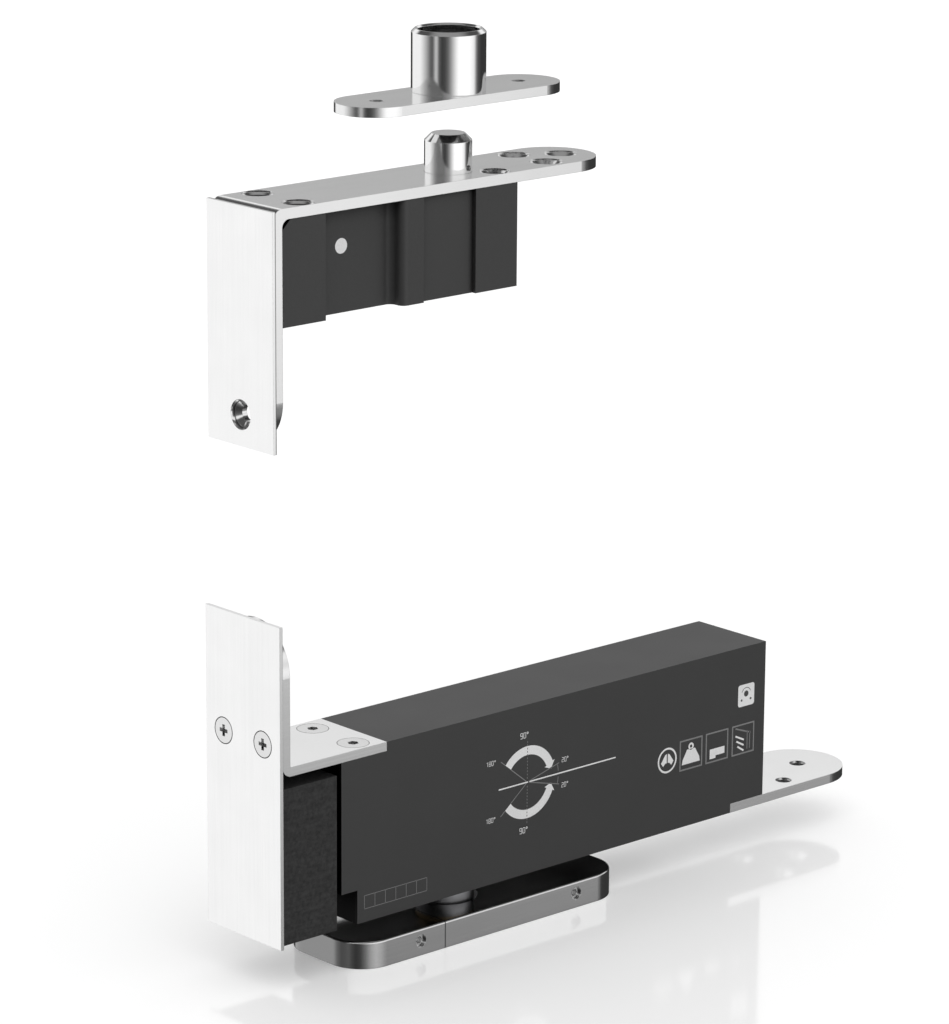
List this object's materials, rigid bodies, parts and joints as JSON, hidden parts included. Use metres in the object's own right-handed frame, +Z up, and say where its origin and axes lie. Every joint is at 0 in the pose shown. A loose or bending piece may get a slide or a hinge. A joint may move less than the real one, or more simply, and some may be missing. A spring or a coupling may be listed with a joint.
{
  "type": "pivot hinge",
  "caption": "Hydraulic door pivot hinge with floor plate, closer for the door's foot, top pivot with retracting pin and frame socket.",
  "frame": {"origin": "on the pivot axis, at floor level under the floor plate", "axes": "+Z up along the pivot axis, +X along the door away from its edge, -Y towards the printed face"},
  "size_m": [0.2637, 0.039, 0.2918],
  "materials": {
    "brushed_plate": "satin, brushed",
    "turned_steel": "turned, polished",
    "screw_steel": "machined",
    "black_screw": "black oxide",
    "base_steel": "plain machined",
    "body_casting": "as cast",
    "printed_sleeve": "matte black with pale print",
    "rough_black": "rough black powder coat",
    "moulded_black": "matte moulded",
    "white_plastic": "plain",
    "bronze": "sintered",
    "seal_rubber": "matte",
    "spring_steel": "drawn wire",
    "valve_brass": "turned"
  },
  "bodies": {
    "floor_and_frame": {"floor_base": "base_steel", "base_cover_front": "turned_steel", "base_cover_rear": "turned_steel", "cover_grub_screws": "screw_steel", "spindle": "turned_steel", "socket_plate": "brushed_plate", "socket_bush": "turned_steel", "socket_liner": "moulded_black"},
    "closer": {"closer_body": "body_casting", "label_sleeve": "printed_sleeve", "valve_block": "rough_black", "valve_block_screws": "screw_steel", "filler_plug": "screw_steel", "front_bracket": "brushed_plate", "bracket_screws": "screw_steel", "front_edge_plate": "brushed_plate", "edge_plate_screws": "screw_steel", "rear_tab": "brushed_plate", "rear_tab_screws": "screw_steel", "lower_bearing": "bronze", "upper_bearing": "bronze", "spindle_seal": "seal_rubber", "thrust_washer": "bronze", "end_plug": "base_steel", "end_plug_seal": "seal_rubber", "front_spring": "spring_steel", "rear_spring": "spring_steel"},
    "piston": {"rack_piston": "base_steel", "piston_seals": "seal_rubber"},
    "closing_valve": {"closing_valve": "valve_brass"},
    "latching_valve": {"latching_valve": "valve_brass"},
    "top_pivot": {"top_bracket": "brushed_plate", "top_edge_plate": "brushed_plate", "top_housing": "moulded_black", "housing_screws": "black_screw", "cross_pin": "white_plastic", "pin_guide": "bronze", "pin_spring": "spring_steel"},
    "pivot_pin": {"top_pin": "turned_steel", "pin_clip": "spring_steel"}
  },
  "joints": [
    {"name": "door_swing", "type": "hinge", "parent": "floor_and_frame", "child": "closer", "pos_m": [0, 0, 0.0305], "axis": [0, 0, 1], "range_deg": [-130, 130], "stiffness_Nm_per_rad": 5},
    {"name": "top_swing", "type": "hinge", "parent": "floor_and_frame", "child": "top_pivot", "pos_m": [0, 0, 0.247], "axis": [0, 0, 1], "range_deg": [-130, 130]},
    {"name": "piston_slide", "type": "slide", "parent": "closer", "child": "piston", "axis": [1, 0, 0], "range_m": [-0.01134, 0.01134], "deforming": ["rear_spring", "front_spring"]},
    {"name": "closing_valve_turn", "type": "hinge", "parent": "closer", "child": "closing_valve", "pos_m": [-0.073, -0.008, 0.0256], "axis": [1, 0, 0], "range_deg": [-180, 360]},
    {"name": "latching_valve_turn", "type": "hinge", "parent": "closer", "child": "latching_valve", "pos_m": [-0.073, 0.008, 0.0256], "axis": [1, 0, 0], "range_deg": [-180, 360]},
    {"name": "pin_retract", "type": "slide", "parent": "top_pivot", "child": "pivot_pin", "axis": [0, 0, -1], "range_m": [0, 0.012], "stiffness_N_per_m": 600, "springref_m": -0.005, "deforming": ["pin_spring"]}
  ],
  "couplings": [
    {"joint": "top_swing", "follows": "door_swing", "ratio": 1},
    {"joint": "piston_slide", "follows": "door_swing", "m_per_rad": 0.005}
  ]
}
